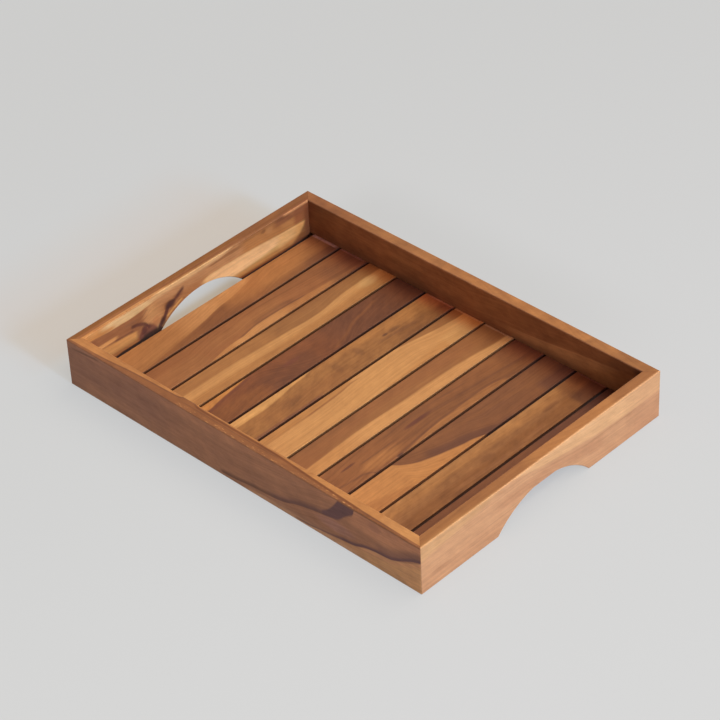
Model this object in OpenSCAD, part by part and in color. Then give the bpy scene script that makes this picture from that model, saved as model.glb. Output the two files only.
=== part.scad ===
// Slatted serving tray in teak.
// Four boards on edge make a mitred frame round a floor of slats.
// Each slat has a tongue at both ends, in a groove along the long boards.
// Each end board has an arched hand hold, open at its foot.
// A hidden spline keys each mitre, and one brad pins each tongue from below.
// Lengths are in millimetres. The tray's length runs along X, its width
// along Y, and the origin is at the centre of the underside.

/* [Tray] */
// Overall length, outside the end boards
tray_length = 400; // [320:1:520]
// Overall width, outside the long boards
tray_width = 288; // [200:1:380]
// Overall height
tray_height = 47; // [42:0.5:80]

/* [Frame boards] */
// Thickness of the four boards
board_thickness = 11; // [10:0.5:16]
// Radius that eases the boards' edges
board_easing = 0.9; // [0.3:0.1:1.5]

/* [Hand holds] */
// Width of an arch where it meets the underside
arch_chord = 110; // [90:1:140]
// Height of the left arch above the underside
left_arch_rise = 26.5; // [18:0.5:32]
// Height of the right arch above the underside
right_arch_rise = 24.5; // [18:0.5:32]
// Bevel round an arch's edges
arch_bevel = 0.8; // [0.3:0.1:1.5]

/* [Floor] */
// Number of slats
slat_count = 11; // [9:1:12]
// Height of the slats' top face above the underside
floor_height = 13.5; // [11:0.5:20]
// Thickness of a slat
slat_thickness = 6; // [5.5:0.5:8]
// Open gap between two slats
slat_gap = 2.5; // [1:0.1:4]
// Open gap between the left end board and the first slat
left_end_gap = 6.1; // [1:0.1:8]
// Open gap between the last slat and the right end board
right_end_gap = 1.5; // [1:0.1:8]
// Radius that eases the slats' long edges
slat_easing = 0.5; // [0.2:0.1:1]
// Length of the shallow bevel at each end of a slat
end_bevel_length = 2.6; // [1:0.1:5]
// Drop of that bevel at the board
end_bevel_drop = 0.7; // [0.2:0.1:1]

/* [Tongues and grooves] */
// Thickness of a slat's tongue
tongue_thickness = 4; // [3.4:0.1:4.4]
// Depth of the groove in a long board
groove_depth = 5.2; // [3.5:0.1:6]
// Room left behind the tongue for the wood to move
groove_end_room = 0.5; // [0.2:0.1:1]
// Play above and below the tongue
tongue_play = 0.1; // [0.05:0.05:0.2]

/* [Mitre splines] */
// Thickness of a spline
spline_thickness = 2.5; // [2:0.1:3]
// Wood left between a spline and the outside faces
spline_cover = 2.8; // [2.4:0.1:3.2]
// Distance from a spline to the top of the frame
spline_top_cover = 7; // [4:0.5:10]
// Distance from the top of the slat groove to a spline
spline_foot_cover = 5; // [3:0.5:8]
// Glue line round a spline
glue_line = 0.1; // [0.05:0.05:0.2]

/* [Slat brads] */
// Radius of a brad's shank
brad_radius = 0.6; // [0.4:0.05:0.8]
// Radius of a brad's head
brad_head_radius = 1.1; // [0.9:0.05:1.4]
// Thickness of a brad's head
brad_head_height = 0.6; // [0.4:0.1:1]
// Distance that a brad enters the tongue
brad_bite = 2.8; // [2:0.1:3.2]
// Distance that a head is set above the underside
brad_setback = 0.4; // [0.2:0.1:1]
// Play round a brad
brad_play = 0.05; // [0.02:0.01:0.1]

/* [Hidden] */
half_length = tray_length / 2;
half_width = tray_width / 2;
well_half_length = half_length - board_thickness;
well_half_width = half_width - board_thickness;

// Steps in a quarter round, and sides of a full round
easing_steps = 3;
round_sides = 96;

// How far a cutter runs past the wood that it cuts
overrun = 5;

// The slats share what the gaps leave of the well's length
slat_run = 2 * well_half_length - left_end_gap - right_end_gap;
slat_width = (slat_run - (slat_count - 1) * slat_gap) / slat_count;
slat_pitch = slat_width + slat_gap;
slat_bottom = floor_height - slat_thickness;

// The tongue is centred in the slat's thickness
tongue_bottom = slat_bottom + (slat_thickness - tongue_thickness) / 2;
tongue_length = groove_depth - groove_end_room;
tongue_top = tongue_bottom + tongue_thickness;
groove_bottom = tongue_bottom - tongue_play;
groove_top = tongue_top + tongue_play;

// A spline lies across the mitre, at this share of the board's thickness
spline_setback_share = 0.62;
spline_setback = board_thickness * spline_setback_share;
spline_width = 2 * (spline_setback - spline_cover) * sqrt(2) - spline_thickness;
spline_bottom = groove_top + spline_foot_cover;
spline_top = tray_height - spline_top_cover;

// A brad stands under the middle of each tongue
brad_y = well_half_width + tongue_length / 2;
brad_top = tongue_bottom + brad_bite;

// The four corners, as signs of X and Y
corner_signs = [[-1, -1], [1, -1], [-1, 1], [1, 1]];

function slat_name(i) = str("slat_", i);

// An arch is part of a circle, which passes both feet and the crown
function arch_radius(rise) = (pow(arch_chord / 2, 2) + pow(rise, 2)) / (2 * rise);

// Centre of slat i along X, counted from the left end
function slat_x(i) = -well_half_length + left_end_gap + slat_width / 2 + (i - 1) * slat_pitch;

// Points of a quarter round about a centre, from one angle to the next
function quarter(centre, radius, start) = [
    for (k = [0 : easing_steps])
        let (a = start + 90 * k / easing_steps)
        centre + radius * [cos(a), sin(a)]
];

// Outline of a rectangle between two corners, with eased corners
function eased_outline(low, high, radius) = concat(
    quarter([high.x - radius, high.y - radius], radius, 0),
    quarter([low.x + radius, high.y - radius], radius, 90),
    quarter([low.x + radius, low.y + radius], radius, 180),
    quarter([high.x - radius, low.y + radius], radius, 270)
);

// An outline drawn in Y and Z, carried along X between two ends
module run_along_x(from, to) {
    translate([from, 0, 0])
        rotate([90, 0, 90])
            linear_extrude(to - from)
                children();
}

// An outline drawn in X and Z, carried along Y between two ends
module run_along_y(from, to) {
    translate([0, to, 0])
        rotate([90, 0, 0])
            linear_extrude(to - from)
                children();
}

// The whole plan of the frame, with its upright corners eased
module frame_plan() {
    linear_extrude(tray_height)
        polygon(eased_outline([-half_length, -half_width], [half_length, half_width], board_easing));
}

// The front board's share of the plan, between the two mitre lines
module front_mitre_plan() {
    linear_extrude(tray_height)
        polygon([
            [-half_length, -half_width],
            [half_length, -half_width],
            [well_half_length, -well_half_width],
            [-well_half_length, -well_half_width]
        ]);
}

// The right end board's share of the plan, between the two mitre lines
module right_mitre_plan() {
    linear_extrude(tray_height)
        polygon([
            [half_length, -half_width],
            [half_length, half_width],
            [well_half_length, well_half_width],
            [well_half_length, -well_half_width]
        ]);
}

// A spline, or the slot for it when room is given, at one corner of the frame
module spline_body(signs, room) {
    width = spline_width + 2 * room;
    thickness = spline_thickness + 2 * room;
    height = spline_top - spline_bottom + 2 * room;
    centre_x = signs.x * (half_length - spline_setback);
    centre_y = signs.y * (half_width - spline_setback);
    translate([centre_x, centre_y, spline_bottom - room])
        rotate([0, 0, -45 * signs.x * signs.y])
            translate([-width / 2, -thickness / 2, 0])
                cube([width, thickness, height]);
}

// The four slots for the splines
module spline_slots() {
    for (signs = corner_signs)
        spline_body(signs, glue_line);
}

// One brad, or its hole when room is given, standing on the XY plane
module brad_body(room) {
    cylinder(h = brad_top + room, r = brad_radius + room, $fn = round_sides);
    cylinder(h = brad_setback + brad_head_height, r = brad_head_radius + room, $fn = round_sides);
}

// The brad holes along the front board, open at the underside
module front_brad_holes() {
    for (i = [1 : slat_count])
        translate([slat_x(i), -brad_y, 0])
            brad_body(brad_play);
}

// A long board: eased all round, mitred, grooved, slotted and bored
module front_board() {
    color("#8a5a3c")
        difference() {
            intersection() {
                run_along_x(-half_length, half_length)
                    polygon(eased_outline([-half_width, 0], [-well_half_width, tray_height], board_easing));
                front_mitre_plan();
                frame_plan();
            }
            translate([-half_length, -well_half_width - groove_depth, groove_bottom])
                cube([tray_length, groove_depth + overrun, groove_top - groove_bottom]);
            spline_slots();
            front_brad_holes();
        }
}

// The back board is the front board's mirror image, so its brads face the same slats
module back_board() {
    color("#a3683c")
        mirror([0, 1, 0])
            front_board();
}

// The arch through an end board, with a bevel at both faces
module arch_cut(rise) {
    radius = arch_radius(rise);
    translate([well_half_length, 0, rise - radius])
        rotate([0, 90, 0]) {
            translate([0, 0, -overrun])
                cylinder(h = board_thickness + 2 * overrun, r = radius, $fn = round_sides);
            cylinder(h = arch_bevel, r1 = radius + arch_bevel, r2 = radius, $fn = round_sides);
            translate([0, 0, board_thickness - arch_bevel])
                cylinder(h = arch_bevel, r1 = radius, r2 = radius + arch_bevel, $fn = round_sides);
        }
}

// An end board: eased all round, mitred, slotted, with its hand hold cut away
module end_board(rise) {
    difference() {
        intersection() {
            run_along_y(-half_width, half_width)
                polygon(eased_outline([well_half_length, 0], [half_length, tray_height], board_easing));
            right_mitre_plan();
            frame_plan();
        }
        spline_slots();
        arch_cut(rise);
    }
}

module right_end_board() {
    color("#c98f66")
        end_board(right_arch_rise);
}

module left_end_board() {
    color("#b9773f")
        rotate([0, 0, 180])
            end_board(left_arch_rise);
}

// A slat seen from its long side: bevelled ends, and a tongue at each end
module slat_side_outline() {
    tongue_end = well_half_width + tongue_length;
    bevel_start = well_half_width - end_bevel_length;
    bevel_foot = floor_height - end_bevel_drop;
    polygon([
        [-well_half_width, slat_bottom],
        [well_half_width, slat_bottom],
        [well_half_width, tongue_bottom],
        [tongue_end, tongue_bottom],
        [tongue_end, tongue_top],
        [well_half_width, tongue_top],
        [well_half_width, bevel_foot],
        [bevel_start, floor_height],
        [-bevel_start, floor_height],
        [-well_half_width, bevel_foot],
        [-well_half_width, tongue_top],
        [-tongue_end, tongue_top],
        [-tongue_end, tongue_bottom],
        [-well_half_width, tongue_bottom]
    ]);
}

// A slat: its side outline and its eased section in one, bored for two brads
module slat(i) {
    slat_colors = ["#b57a45", "#9a6640", "#b98a55", "#6f4330", "#a9763f", "#cf9555"];
    color(slat_colors[i % len(slat_colors)])
        translate([slat_x(i), 0, 0])
            difference() {
                intersection() {
                    run_along_x(-slat_width / 2, slat_width / 2)
                        slat_side_outline();
                    run_along_y(-half_width, half_width)
                        polygon(eased_outline(
                            [-slat_width / 2, slat_bottom], [slat_width / 2, floor_height], slat_easing
                        ));
                }
                for (side = [-1, 1])
                    translate([0, side * brad_y, 0])
                        brad_body(brad_play);
            }
}

// A spline of the same teak, with its grain across the mitre
module spline(signs) {
    color("#c9a27a")
        spline_body(signs, 0);
}

// Every brad, with its head set above the underside
module slat_brads() {
    color("silver")
        for (i = [1 : slat_count], side = [-1, 1])
            translate([slat_x(i), side * brad_y, brad_setback]) {
                cylinder(h = brad_head_height, r = brad_head_radius, $fn = round_sides);
                cylinder(h = brad_top - brad_setback, r = brad_radius, $fn = round_sides);
            }
}

front_board();
back_board();
left_end_board();
right_end_board();
for (i = [1 : slat_count])
    slat(i);
spline(corner_signs[0]);  // spline_front_left
spline(corner_signs[1]);  // spline_front_right
spline(corner_signs[2]);  // spline_back_left
spline(corner_signs[3]);  // spline_back_right
slat_brads();
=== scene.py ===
# %% [markdown]
# Some shade, shadow and sheen are painted into the colours of the wood and the floor as well.
# A teak tray with a slatted floor. The imported model already has every real
# shape: four mitred boards, eleven tongued slats, the splines and the brads.
# What is left for Blender is what a joiner would call the timber and the
# finish: which way the grain runs in each piece, where the dark heartwood
# stops and the pale sapwood starts, the pores, and a thin coat of oil.
# Nothing here moves a piece or changes its size.

import math

import bpy
import numpy as np
from mathutils import Matrix, Vector


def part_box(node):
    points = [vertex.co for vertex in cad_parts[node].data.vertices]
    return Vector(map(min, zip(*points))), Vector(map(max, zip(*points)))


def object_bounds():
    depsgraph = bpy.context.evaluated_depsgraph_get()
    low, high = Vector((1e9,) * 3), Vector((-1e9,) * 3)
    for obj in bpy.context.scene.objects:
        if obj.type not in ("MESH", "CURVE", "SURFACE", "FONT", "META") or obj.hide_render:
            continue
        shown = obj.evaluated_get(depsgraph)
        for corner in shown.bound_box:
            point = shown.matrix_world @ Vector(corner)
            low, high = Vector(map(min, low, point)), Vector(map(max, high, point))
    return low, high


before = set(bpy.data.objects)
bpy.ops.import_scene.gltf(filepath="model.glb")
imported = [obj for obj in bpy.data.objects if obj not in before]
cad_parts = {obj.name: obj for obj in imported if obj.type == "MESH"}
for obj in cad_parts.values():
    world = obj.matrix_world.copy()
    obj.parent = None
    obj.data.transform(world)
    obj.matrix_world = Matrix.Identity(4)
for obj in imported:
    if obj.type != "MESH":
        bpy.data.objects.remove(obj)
cad_low, cad_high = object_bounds()
MM = 0.001
HALF_LENGTH = cad_high.x / MM
HALF_WIDTH = cad_high.y / MM
HEIGHT = cad_high.z / MM
print("tray in mm:", round(2 * HALF_LENGTH, 2), round(2 * HALF_WIDTH, 2), round(HEIGHT, 2))

# %% [markdown]
# The camera stands off one corner and looks down on the tray through a long
# lens, so that the edges stay almost parallel. It could be placed by eye,
# but a direction, a small tilt and a point to aim at say the same thing in
# numbers that mean something, and they are easy to change.

# %% Camera
CAMERA_AZIMUTH = math.radians(45.167)
CAMERA_ELEVATION = math.radians(37.611)
CAMERA_TILT = math.radians(2.738)
CAMERA_DISTANCE = 2.3493
CAMERA_AIM = Vector((-0.01393, 0.01444, 0.02604))
CAMERA_LENS = 141.39


def camera_turn(azimuth, elevation, tilt):
    """The camera's axes: back towards the camera, level to the right, and up, turned by the tilt."""
    level = math.cos(elevation)
    back = Vector((math.sin(azimuth) * level, -math.cos(azimuth) * level, math.sin(elevation)))
    right = Vector((math.cos(azimuth), math.sin(azimuth), 0))
    up = back.cross(right)
    tilted_right = right * math.cos(tilt) - up * math.sin(tilt)
    tilted_up = right * math.sin(tilt) + up * math.cos(tilt)
    return Matrix((tilted_right, tilted_up, back)).transposed(), back


camera_axes, towards_camera = camera_turn(CAMERA_AZIMUTH, CAMERA_ELEVATION, CAMERA_TILT)
camera_place = Matrix.Translation(CAMERA_AIM + towards_camera * CAMERA_DISTANCE)
camera = bpy.data.objects.new("camera", bpy.data.cameras.new("camera"))
camera.data.lens = CAMERA_LENS
camera.matrix_world = camera_place @ camera_axes.to_4x4()
bpy.context.scene.collection.objects.link(camera)
bpy.context.scene.camera = camera
print("camera at", [round(value, 3) for value in camera.matrix_world.translation])

# %% [markdown]
# Shader maths reads badly as nodes and well as sums. A `Wire` holds one
# output socket, and each operator on it adds one Math node to the same
# tree, so `1 - mask * 0.5` can be written as it would be on paper.

# %% Wires
class Wire:
    """One output socket of a finish. Sums on it add Math nodes."""

    def __init__(self, finish, socket):
        self.finish = finish
        self.socket = socket

    def sum(self, operation, first, second):
        sockets = {"Value": first, "Value_001": second}
        return self.finish.node("ShaderNodeMath", {"operation": operation}, sockets)

    def __add__(self, other):
        return self.sum("ADD", self, other)

    def __radd__(self, other):
        return self.sum("ADD", other, self)

    def __sub__(self, other):
        return self.sum("SUBTRACT", self, other)

    def __rsub__(self, other):
        return self.sum("SUBTRACT", other, self)

    def __mul__(self, other):
        return self.sum("MULTIPLY", self, other)

    def __rmul__(self, other):
        return self.sum("MULTIPLY", other, self)

    def __truediv__(self, other):
        return self.sum("DIVIDE", self, other)

    def __abs__(self):
        return self.sum("ABSOLUTE", self, 0)


# %% [markdown]
# A line that bends along a board is a Float Curve: it turns a place along
# the grain into a height across it. Blender gives each new curve two
# points, so the first and the last of ours go there, and the others are
# added between them.

# %% Curves
def draw_curve(mapping, points):
    """A Float Curve through points given as (input, output), level beyond both ends."""
    mapping.use_clip = False
    mapping.extend = "HORIZONTAL"
    curve = mapping.curves[0]
    ordered = sorted(points)
    curve.points[0].location = ordered[0]
    curve.points[-1].location = ordered[-1]
    mapping.update()
    for place in ordered[1:-1]:
        curve.points.new(*place)
    for point in curve.points:
        point.handle_type = "AUTO_CLAMPED"
    mapping.update()


# %% [markdown]
# A `Finish` is the shader of one material, or of the room, while it is
# being made. Every other node comes from its `node` method, which sets the
# node's settings first, because some sockets only exist once a setting is
# made, and its sockets after.

# %% Finishes
class Finish:
    """A shader in the making: it adds nodes and hands back their outputs as wires."""

    def __init__(self, owner):
        self.owner = owner
        owner.use_nodes = True
        self.tree = owner.node_tree
        self.tree.nodes.clear()

    def node(self, kind, settings=None, sockets=None, output=0):
        made = self.tree.nodes.new(kind)
        for name, value in (settings or {}).items():
            if name == "points":
                draw_curve(made.mapping, value)
            else:
                setattr(made, name, value)
        by_name = {}
        for socket in reversed(made.inputs):
            by_name[socket.name] = socket
        for socket in made.inputs:
            by_name[socket.identifier] = socket
        for name, value in (sockets or {}).items():
            if isinstance(value, Wire):
                self.tree.links.new(value.socket, by_name[name])
            else:
                by_name[name].default_value = value
        if not made.outputs:
            return None
        outputs = {socket.identifier: socket for socket in made.outputs}
        return Wire(self, outputs.get(output) or made.outputs[output])

    def split(self, vector):
        """The three parts of a vector."""
        first = self.node("ShaderNodeSeparateXYZ", None, {"Vector": vector})
        return [Wire(self, socket) for socket in first.socket.node.outputs]

    def step(self, value, start, end):
        """0 up to start, 1 from end on, and a smooth rise between them."""
        settings = {"interpolation_type": "SMOOTHSTEP"}
        sockets = {"Value": value, "From Min": start, "From Max": end}
        return self.node("ShaderNodeMapRange", settings, sockets)

    def between(self, value, rise, fall):
        """1 between two places, after a smooth rise over one stretch and up to a fall over another."""
        return self.step(value, *rise) * (1 - self.step(value, *fall))

    def larger(self, first, second):
        """The larger of two wires."""
        return first.sum("MAXIMUM", first, second)

    def curve(self, points, value):
        """The height of a line through these points, at a value."""
        return self.node("ShaderNodeFloatCurve", {"points": points}, {"Value": value})

    def noise(self, x, y, z, detail=1.0, roughness=0.5):
        """Smooth noise with hills one unit apart, centred on 0."""
        place = self.node("ShaderNodeCombineXYZ", None, {"X": x, "Y": y, "Z": z})
        sockets = {"Vector": place, "Scale": 1.0, "Detail": detail, "Roughness": roughness}
        return self.node("ShaderNodeTexNoise", None, sockets) - 0.5

    def mix(self, under, over, amount):
        """A colour laid over another one, by an amount from 0 to 1."""
        settings = {"data_type": "RGBA"}
        sockets = {"Factor_Float": amount, "A_Color": under, "B_Color": over}
        return self.node("ShaderNodeMix", settings, sockets, "Result_Color")

    def tinted(self, colour, red, green, blue):
        """A colour with each of its channels multiplied."""
        sockets = {"Vector": colour, "Vector_001": (red, green, blue)}
        return self.node("ShaderNodeVectorMath", {"operation": "MULTIPLY"}, sockets)

    def seen(self):
        """1 for what the camera sees, also in gloss or through glass, and 0 for any other light."""
        camera_ray = self.node("ShaderNodeLightPath", None, None, "Is Camera Ray")
        rays = camera_ray.socket.node.outputs
        with_gloss = self.larger(camera_ray, Wire(self, rays["Is Glossy Ray"]))
        return self.larger(with_gloss, Wire(self, rays["Is Transmission Ray"]))

    def surface(self, sockets):
        """The finished material, with these values on its shader."""
        shader = self.node("ShaderNodeBsdfPrincipled", None, sockets)
        self.node("ShaderNodeOutputMaterial", None, {"Surface": shader})
        return self.owner


# %% [markdown]
# Teak runs from straw-coloured sapwood through honey and russet to a purple
# brown that is nearly black in the darkest streaks. Each tone has a name
# here, written as the red, green and blue a paint chart would give, and is
# turned into the linear values that a shader works in.

# %% Tones of teak
def tone(red, green, blue):
    """A colour written from 0 to 255 as a screen shows it, in a shader's linear values."""
    linear = []
    for value in (red, green, blue):
        share = value / 255
        linear.append(share / 12.92 if share <= 0.04045 else ((share + 0.055) / 1.055) ** 2.4)
    return (*linear, 1.0)


STRAW = tone(220, 162, 99)
HONEY = tone(208, 143, 82)
ROSE = tone(206, 142, 92)
GOLD = tone(193, 127, 68)
COPPER = tone(190, 122, 80)
AMBER = tone(178, 114, 60)
FAWN = tone(166, 107, 69)
OCHRE = tone(163, 104, 55)
BROWN = tone(152, 92, 48)
CHESTNUT = tone(135, 81, 42)
UMBER = tone(122, 72, 41)
COCOA = tone(106, 61, 38)
MAUVE = tone(104, 60, 54)
PLUM = tone(109, 57, 41)
DUSK = tone(70, 35, 25)
# GAP_SHADOW is no tone of the wood: it is painted shadow for the dark gap at a board's foot.
GAP_SHADOW = tone(46, 18, 6)
print("honey in linear values:", [round(value, 3) for value in HONEY])

# %% [markdown]
# Growth rings cut by a plane give the stripes, flames and wedges that make
# a board's figure. One way is to let noise make them all, which gives teak,
# but never this teak. So each piece lists its own figure as a carpenter
# would sketch it: a base tone, then bands and streaks laid along lines of a
# few points, given in millimetres along the grain and across it. The lines
# run through the whole thickness, so edges and undersides agree with them.
# First come the limits that every one of them shares.

# %% Where a tone stops
FAR_BELOW = -60


def reached(wood, along, reach, fade):
    """1 between the two ends of a reach along the grain, fading out over a length beyond them."""
    start, end = reach
    return wood.between(along, (start - fade, start), (end, end + fade))


def sides_of(wood, along, across, depth, limits, soft):
    """1 where every limit holds: on the right side of a line across the grain, or of a depth."""
    measured = {"beyond": (across, 1), "below": (across, -1), "inside": (depth, 1), "outside": (depth, -1)}
    whole = None
    for key, (value, side) in measured.items():
        points = limits.get(key)
        if points is None:
            continue
        line = wood.curve(points, along) if isinstance(points, list) else points
        part = wood.step((value - line) * side, -soft, soft)
        whole = part if whole is None else whole * part
    return whole


# %% [markdown]
# A band is a tone on one side of a line, or between two: sapwood against
# heartwood. A streak follows a line at a width, as a gum line does. It can
# start sharply, because gum stops at the edge of a growth ring. Rings run
# side by side, so a line can also be another one, moved over.

# %% Bands and streaks
LIMIT_SOFTNESS = 0.7


def band(colour, reach=None, fade=8, soft=1.3, amount=1.0, **limits):
    """Tone on one side of a line, or between lines. Limits are beyond, below, inside and outside."""

    def mask(wood, along, across, depth):
        whole = sides_of(wood, along, across, depth, limits or {"beyond": FAR_BELOW}, soft) * amount
        if reach:
            whole = whole * reached(wood, along, reach, fade)
        return whole

    return colour, mask


def streak(colour, line, width, reach=None, fade=8, amount=1.0, in_depth=False, crisp=None, **limits):
    """A narrow stripe of a tone along a line, in depth or across. A crisp one starts sharply at it."""

    def mask(wood, along, across, depth):
        off_line = (depth if in_depth else across) - wood.curve(line, along)
        if crisp:
            whole = wood.between(off_line, (-crisp, crisp), (width * 0.3, width))
        else:
            whole = 1 - wood.step(abs(off_line), width * 0.2, width)
        ends = reach or (min(line)[0], max(line)[0])
        whole = whole * reached(wood, along, ends, fade) * amount
        if limits:
            whole = whole * sides_of(wood, along, across, depth, limits, LIMIT_SOFTNESS)
        return whole

    return colour, mask


def moved(line, along_by, across_by):
    """The same line, moved along and across the grain."""
    return [(along + along_by, across + across_by) for along, across in line]


# %% [markdown]
# What has no direction of its own is a fleck: a knot, a stain or a small
# blaze, as a soft oval. Speckle is many short dashes, such as the pale ones
# that a worn arris shows.

# %% Flecks and speckle
def fleck(colour, at, size, amount=1.0, **limits):
    """A soft oval patch of a tone: one less the smooth rise of its distance squared, in its own size."""

    def mask(wood, along, across, depth):
        run = (along - at[0]) / size[0]
        rise = (across - at[1]) / size[1]
        whole = (1 - wood.step(run * run + rise * rise, 0.05, 1.0)) * amount
        if limits:
            whole = whole * sides_of(wood, along, across, depth, limits, LIMIT_SOFTNESS)
        return whole

    return colour, mask


def speckle(colour, reach, amount=1.0, **limits):
    """Short dashes of a tone, scattered by noise that is four times longer than it is wide."""

    def mask(wood, along, across, depth):
        cells = wood.noise(along * 0.22, across * 0.9, depth * 0.9, 2.0)
        whole = wood.step(cells, 0.06, 0.2) * reached(wood, along, reach, 10) * amount
        return whole * sides_of(wood, along, across, depth, limits, 0.5)

    return colour, mask


# %% [markdown]
# The grain is common to every piece of teak. Growth rings follow the same
# run as the figure, each one getting darker and then starting again. Pores
# are fine dashes, thickest where a ring starts. Fibres are finer still, and
# a slow ripple crosses them where the grain waves in and out of the face.
# All of these push one number up or down, which then picks between a darker
# and a lighter version of the tone underneath, so the hue stays rich.

# %% Grain
RING_SPACING = 4.0
RING_DEPTH = 0.07
FIBRE_DEPTH = 0.32
PORE_DEPTH = 0.16
EVEN_SHADE = 0.53 + RING_DEPTH * 0.4
SATIN = 0.48


def grain(wood, run, along, across, depth, seed, streaks, mottle, curl):
    """Shade, roughness and height of the grain, as sums of streaks, fibres, clouds, waves, rings and
    pores. A place is multiplied by the hills per millimetre, and a seed gives a piece its own."""
    growth = run / RING_SPACING + wood.noise(run * 0.11, along * 0.004, seed * 5.7) * 2.4
    ring = wood.step(growth.sum("FRACT", growth, 0), 0.3, 0.97)
    soft_streak = wood.noise(run * 0.5, along * 0.007, seed * 2.3, 3.0, 0.65)
    fibre = wood.noise(run * 2.6, along * 0.09, depth * 2.0 + seed, 3.0, 0.65)
    pore_cells = wood.noise(run * 3.1, along * 0.24, depth * 3.1 + seed * 1.7)
    pore = wood.step(pore_cells, 0.12, 0.26) * (1 - ring * 0.7)
    cloud = wood.noise(across * 0.08, along * 0.035, seed * 9.1, 3.0, 0.6)
    wave = wood.noise(run * 0.16 + along * 0.05, along * 0.075, depth * 0.1 + seed * 4.9, 2.0, 0.6)
    figured = soft_streak * streaks + fibre * FIBRE_DEPTH + cloud * mottle + wave * curl
    shade = figured - ring * RING_DEPTH - pore * PORE_DEPTH + EVEN_SHADE
    roughness = pore * 0.15 - soft_streak * 0.12 + SATIN
    height = fibre * 0.6 - pore - ring * 0.25
    return shade, roughness, height


# %% [markdown]
# Three things darken teak where pieces meet. End grain drinks more oil than a face does. Slat edges down in
# a gap get painted shade. And along the back board painted shade darkens the slats, slowly at first and then
# quickly in the last 20 mm. A thin line of glue shows across each mitre.

# %% Where pieces meet
END_GRAIN_TINT = (0.66, 0.60, 0.56)
GAP_SHADE_TINT = (0.30, 0.24, 0.22)
GLUE_TINT = (0.35, 0.28, 0.25)
WALL_SHADE_TINT = (0.80, 0.50, 0.52)
CONTACT_SHADE_TINT = (0.74, 0.62, 0.58)
NEAR_WALL = (92, 134)
AT_WALL = (114, 134)
MITRE = HALF_LENGTH - HALF_WIDTH


def darker_cuts(wood, colour, place, shaded_edges):
    """End grain, and the painted shade on slat edges down in the gaps, told from a face by the way they
    look.
    """
    facing = wood.split(wood.node("ShaderNodeNewGeometry", None, None, "Normal"))
    facing_along, facing_across = place(*facing, turned=True)[:2]
    end_grain = wood.step(abs(facing_along), 0.4, 0.9)
    colour = wood.mix(colour, wood.tinted(colour, *END_GRAIN_TINT), end_grain)
    # Painted shade on the slat edges that stand in the gaps
    if shaded_edges:
        edge = wood.step(abs(facing_across), 0.35, 0.95) * shaded_edges
        colour = wood.mix(colour, wood.tinted(colour, *GAP_SHADE_TINT), edge)
    return colour


def painted_wall_shade(wood, colour, along, wall_shade, at_wall):
    """Painted shade of the back board: a slow darkening, which is a smooth rise squared, and a quick one in
    the last stretch.
    """
    near_wall = wood.step(along, *NEAR_WALL)
    shaded = wood.tinted(colour, *WALL_SHADE_TINT)
    colour = wood.mix(colour, shaded, near_wall * near_wall * wall_shade)
    return wood.mix(colour, wood.tinted(colour, *at_wall), wood.step(along, *AT_WALL) * 0.9)


def glued_mitre(wood, colour, x, y, z):
    """A line across the top where the distances from the two board ends are the same."""
    seam = (1 - wood.step(abs(abs(x) - abs(y) - MITRE), 0.1, 0.55)) * wood.step(z, HEIGHT - 3, HEIGHT - 1)
    return wood.mix(colour, wood.tinted(colour, *GLUE_TINT), seam * 0.3)


# %% [markdown]
# Now teak itself can be put together: place, figure, grain, then what
# happens at the cuts. The coat of oil is thin, so the shine is low and the
# bump is only a twentieth of a millimetre deep.

# %% Teak
DARKER = (0.52, 0.44, 0.40)
LIGHTER = (1.42, 1.50, 1.56)
LEAN = 0.45
OIL_SHINE = 0.32
GRAIN_HEIGHT = 0.05 * MM


def teak(name, place, base, layers, seed, flow=None, streaks=0.5, mottle=0.3, curl=0.3, shaded_edges=0.0,
         wall_shade=0.0, mitred=False, cast=None, at_wall=CONTACT_SHADE_TINT):
    """Oiled teak with its own figure: layers on a base tone, shaded by the grain."""
    wood = Finish(bpy.data.materials.new(name))
    position = wood.node("ShaderNodeTexCoord", None, None, "Object")
    x, y, z = [part / MM for part in wood.split(position)]
    along, across, depth = place(x, y, z)
    drift = wood.noise(along * 0.012, across * 0.04 + seed * 7.3, depth * 0.04, 2.0)
    ripple = wood.noise(along * 0.06, across * 0.12 + seed * 3.1, depth * 0.12)
    line_across = across + drift + ripple * 0.6

    colour = base
    for layer_colour, mask in layers:
        colour = wood.mix(colour, layer_colour, mask(wood, along, line_across, depth))
    # Painted shade of the back board on the slats
    if wall_shade:
        colour = painted_wall_shade(wood, colour, along, wall_shade, at_wall)

    run = line_across + depth * LEAN
    if flow:
        run = run - wood.curve(flow, along)
    shade, roughness, height = grain(wood, run, along, across, depth, seed, streaks, mottle, curl)
    colour = wood.mix(wood.tinted(colour, *DARKER), wood.tinted(colour, *LIGHTER), shade)
    if cast:
        colour = wood.tinted(colour, *cast)
    colour = darker_cuts(wood, colour, place, shaded_edges)
    if mitred:
        colour = glued_mitre(wood, colour, x, y, z)

    bump = wood.node("ShaderNodeBump", None, {"Strength": 0.5, "Distance": GRAIN_HEIGHT, "Height": height})
    return wood.surface({
        "Base Color": colour,
        "Roughness": roughness,
        "Specular IOR Level": OIL_SHINE,
        "Normal": bump,
    })


# %% [markdown]
# A pattern needs to know how a piece was cut. In a slat the grain runs along
# Y and the face looks up. In a board on edge the grain runs along the board,
# the width stands upright, and depth counts inwards from the outer face.

# %% How the grain lies in each piece
FIGURE_START = 2.3


def slat_place(node):
    """Along Y from a mark near the middle, across X from the centre line, and down from the top face."""
    low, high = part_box(node)
    centre = (low[0] + high[0]) / 2 / MM
    top = high[2] / MM

    def place(x, y, z, turned=False):
        if turned:
            return y, x, z
        return y + FIGURE_START, x - centre, top - z

    return place


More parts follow.
